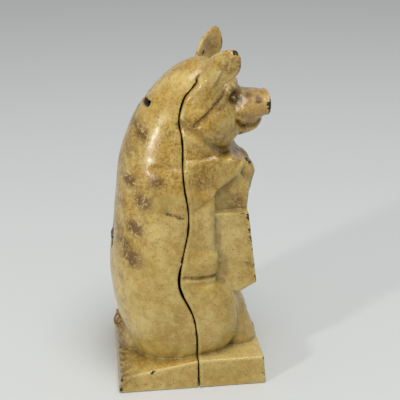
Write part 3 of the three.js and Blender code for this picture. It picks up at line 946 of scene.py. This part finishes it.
def enamel():
    p = Paint("ivory_enamel")
    edge = p.number("edge")
    blotch, mottle = p.noise(10, 5, 0.6, 0.4), p.noise(3.4, 5, 0.7, 0.3)
    fine, grain = p.noise(1.3, 5, 0.7), p.noise(0.5, 3)
    # Age, with painted shade on the base's rear top, broken up by noise.
    age_and_shade = p.times(p.number("age_and_shade"), p.step(p.noise(18, 4, 0.6), 0.40, 0.58, 0.3, 1))
    colour = aged_ivory(p, age_and_shade, blotch, mottle, fine, edge)

    # Gold-brown stipple, thick where the enamel is old and on the painted shade of the base's rear top, then
    # brown specks, rust blotches with painted shade on the tail and in the ear folds, and darker brown where
    # the surface is concave.
    crowd = p.times(p.step(blotch, 0.38, 0.54, 0.45, 1), age_and_shade)
    stipple = p.times(p.step(fine, 0.48, 0.56), crowd)
    colour = p.mix(p.times(stipple, 0.8), colour, GOLD)
    large = p.times(p.step(p.cells(2.4), 0.08, 0.22, 1, 0), p.step(blotch, 0.44, 0.58, 0.12, 1))
    small = p.times(p.step(p.cells(1.1), 0.14, 0.34, 1, 0), p.step(mottle, 0.42, 0.56))
    specks = p.math("MAXIMUM", p.times(large, 0.7), p.times(small, 0.6))
    colour = p.mix(specks, colour, BROWN)
    broken = p.step(p.math("ADD", p.times(mottle, 0.5), p.times(fine, 0.5)), 0.40, 0.52)
    # Rust, and painted shade on the tail and in the folds by the ears.
    colour = p.mix(p.times(p.times(p.number("stain_and_shade"), broken, True), 0.92), colour, RUST_AND_SHADE)
    # Darker brown where the surface is concave.
    concave_dark = p.times(p.number("hollow"), p.step(p.noise(4.5, 4, 0.6), 0.3, 0.7, 0.2, 1), True)
    colour = p.mix(p.times(concave_dark, 0.65), colour, CONCAVE_BROWN)
    bare, iron = bare_iron(p, edge)
    p.set(p.shader.inputs["Base Color"], p.mix(bare, colour, iron))

    rough = p.math("ADD", p.step(p.noise(6, 4), 0.3, 0.7, 0.22, 0.38), p.times(specks, 0.15))
    rough = p.math("ADD", rough, p.times(concave_dark, 0.2))
    p.set(p.shader.inputs["Roughness"], p.math("ADD", rough, p.times(bare, 0.3), True))
    p.set(p.shader.inputs["Specular IOR Level"], 0.4)
    p.set(p.shader.inputs["Coat Weight"], p.math("SUBTRACT", 0.32, bare, True))
    p.set(p.shader.inputs["Coat Roughness"], p.step(p.noise(5, 3), 0.3, 0.7, 0.14, 0.32))

    skin = p.math("ADD", p.times(fine, 0.6), p.times(grain, 0.4))
    normal = p.bump(mottle, 0.3, 0.6, p.bump(skin, 0.16, 0.8))
    normal = p.bump(p.math("MAXIMUM", bare, p.times(specks, 0.3)), -0.2, 0.8, normal)
    p.set(p.shader.inputs["Normal"], normal)
    return p.material


def steel():
    p = Paint("screw_steel")
    broad, fine = p.noise(3.2, 4, 0.6), p.noise(0.4, 3)
    dull, brown = (0.26, 0.235, 0.20), (0.12, 0.085, 0.055)
    hollow_black, bright = (0.035, 0.018, 0.008), (0.45, 0.43, 0.40)
    colour = p.mix(p.step(broad, 0.35, 0.7), dull, brown)
    # Darker in the drive slot and where the surface is concave.
    colour = p.mix(p.times(p.number("hollow"), 0.9, True), colour, hollow_black)
    colour = p.mix(p.times(p.step(p.number("edge"), 0.3, 0.8), 0.6), colour, bright)
    p.set(p.shader.inputs["Base Color"], colour)
    p.set(p.shader.inputs["Metallic"], p.step(broad, 0.4, 0.75, 0.9, 0.45))
    p.set(p.shader.inputs["Roughness"], p.step(fine, 0.3, 0.7, 0.38, 0.62))
    p.set(p.shader.inputs["Normal"], p.bump(fine, 0.03, 0.7))
    return p.material


# ---------------------------------------------------------------- the pieces

def screw():
    """A slotted screw with a domed head, as a mesh with its own wear."""
    low = (-SCREW_HEAD, SCREW_TIP + MIDDLE, SCREW_Z - SCREW_HEAD)
    f = Field(low, (SCREW_HEAD, SCREW_TOP + MIDDLE, SCREW_Z + SCREW_HEAD), SCREW_VOXEL)
    x, y, z = f.axes[0][:, None, None], f.axes[1][None, :, None] - MIDDLE, f.axes[2][None, None, :] - SCREW_Z
    out = np.sqrt(x * x + z * z)
    turn = np.arctan2(z, x) / (2 * math.pi)
    groove = 0.5 + 0.5 * np.cos(2 * math.pi * (y / THREAD["pitch"] - turn))
    groove = THREAD["depth"] * groove * (1 - smoothstep(THREAD["from"], THREAD["to"], y))
    point = 0.9 * (1 - smoothstep(SCREW_TIP, SCREW_TIP + 1.4, y))
    shank = np.maximum(out - SCREW_SHANK + groove + point, np.maximum(SCREW_TIP - y, y - SCREW_SEAT - 1))
    dome = np.sqrt((out / SCREW_HEAD) ** 2 + (np.maximum(y - SCREW_SEAT, 0) / (SCREW_TOP - SCREW_SEAT)) ** 2)
    dome = np.maximum((dome - 1) * 3.2, SCREW_SEAT - y)
    head = -smooth_least(-dome, -(out - SCREW_HEAD + 0.1), 0.5)
    f.values = smooth_least(head, shank.astype(np.float32), 0.3)
    slot = np.maximum(np.abs(z) - DRIVE_SLOT["half"], SCREW_TOP - DRIVE_SLOT["depth"] - y)
    f.values = -smooth_least(-f.values, slot, 0.18)
    f.values = f.values.astype(np.float32)
    mesh = f.mesh("assembly_screw")
    filled = np.clip(0.5 - f.values / f.voxel, 0, 1)
    fine = f.sample(softened(filled, 3), vertices(mesh)[0]) - 0.5
    write(mesh, {"edge": np.clip(-fine * 4, 0, 1), "hollow": np.clip(fine * 7, 0, 1)})
    return mesh


def castings():
    """The front and the back casting, as meshes."""
    f = pig()
    carve_head(f)
    carve_arms(f)
    carve_legs(f)
    f.values += sum(lumps(f, *settings) for settings in SOFT_LUMPS)
    fittings(f)
    f.values += lumps(f, *SKIN_LUMPS)
    f.keep(-f.axes[2][None, None, :])
    behind, half_gap = parting(f)

    # The front's rim is a little proud, and the screw's hole in it stops short of the face.
    front, back = f.copy(), f.copy()
    front.values -= 0.35 * np.exp(-(((behind + 1.5) / 1.0) ** 2))
    front.keep(behind + half_gap, 0.5)
    front.cut(bar(SCREW_HOLE, FRONT_BOSS["hole_end"], FRONT_BOSS["rear"] + 1), 0.2)

    back.keep(half_gap - behind, 0.5)
    low, high = SLOT["z"] - SLOT["half_height"], SLOT["z"] + SLOT["half_height"]
    back.cut(block((-SLOT["half"], SLOT["front"], low), (SLOT["half"], 40, high), 1.2), 0.5)
    back.cut(bar(SPOT_FACE, SEAT_Y, REAR), 0.5)
    back.cut(bar(SCREW_HOLE, BACK_BOSS["hole_end"], REAR), 0.2)

    hollow = chamber()
    front_mesh = combined("front_casting", front.mesh("front_casting"), hollow, "DIFFERENCE")
    front_mesh = combined("front_casting", front_mesh, lugs(), "UNION")
    back_mesh = combined("back_casting", back.mesh("back_casting"), hollow, "DIFFERENCE")
    for mesh in (front_mesh, back_mesh):
        wear(mesh, f)
    return front_mesh, back_mesh


def piece(name, mesh, material, body, node):
    """One visible piece, which rides on a body and stands for a CAD node."""
    made = bpy.data.objects.new(name, mesh)
    bpy.context.scene.collection.objects.link(made)
    mesh.materials.clear()
    mesh.materials.append(material)
    mesh.shade_smooth()
    mesh.set_sharp_from_angle(angle=math.radians(CREASE_ANGLE))
    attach(made, body)
    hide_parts(node)


front_mesh, back_mesh = castings()
ivory = enamel()
piece("front_casting", front_mesh, ivory, "front", "front_half")
piece("back_casting", back_mesh, ivory, "back", "back_half")
piece("long_screw", screw(), steel(), "screw", "assembly_screw")


# ---------------------------------------------------------------- floor, light and camera

def floor():
    """A plain pale floor, 8 m wide."""
    mesh = bpy.data.meshes.new("floor")
    mesh.from_pydata([(-4, -4, 0), (4, -4, 0), (4, 4, 0), (-4, 4, 0)], [], [(0, 1, 2, 3)])
    made = bpy.data.objects.new("floor", mesh)
    bpy.context.scene.collection.objects.link(made)
    p = Paint("floor")
    p.set(p.shader.inputs["Base Color"], (0.60, 0.61, 0.60))
    p.set(p.shader.inputs["Roughness"], 0.55)
    mesh.materials.append(p.material)


def soft_light(name, place, aim, size, power, colour):
    """A round lamp of the given size in metres and power in watts, turned to a point."""
    light = bpy.data.lights.new(name, "AREA")
    light.shape = "DISK"
    light.size, light.energy, light.color = size, power, colour
    made = bpy.data.objects.new(name, light)
    made.location = place
    made.rotation_euler = (Vector(aim) - Vector(place)).to_track_quat("-Z", "Y").to_euler()
    bpy.context.scene.collection.objects.link(made)


floor()
soft_light("key", (-0.62, 0.84, 0.42), (0, 0, 0.12), 0.10, 4.8, (1.0, 0.99, 0.96))
soft_light("overhead", (-0.30, -0.12, 1.25), (0, 0, 0.05), 0.7, 9.6, (0.99, 0.99, 1.0))

scene = bpy.context.scene
scene.view_settings.view_transform = "Standard"
scene.world = bpy.data.worlds.new("world")
scene.world.use_nodes = True
sky = scene.world.node_tree.nodes["Background"]
sky.inputs["Color"].default_value = (0.86, 0.88, 0.88, 1)
sky.inputs["Strength"].default_value = 0.56

camera = bpy.data.cameras.new("camera")
camera.lens, camera.sensor_width = 76.96, 36
camera.dof.use_dof = False
view = bpy.data.objects.new("camera", camera)
yaw, pitch = math.radians(7.23), math.radians(21.77)
look = Vector((math.cos(yaw) * math.cos(pitch), -math.sin(yaw) * math.cos(pitch), -math.sin(pitch)))
view.location = (-0.3964, 0.0437, 0.2462)
view.rotation_euler = look.to_track_quat("-Z", "Y").to_euler()
scene.collection.objects.link(view)
scene.camera = view
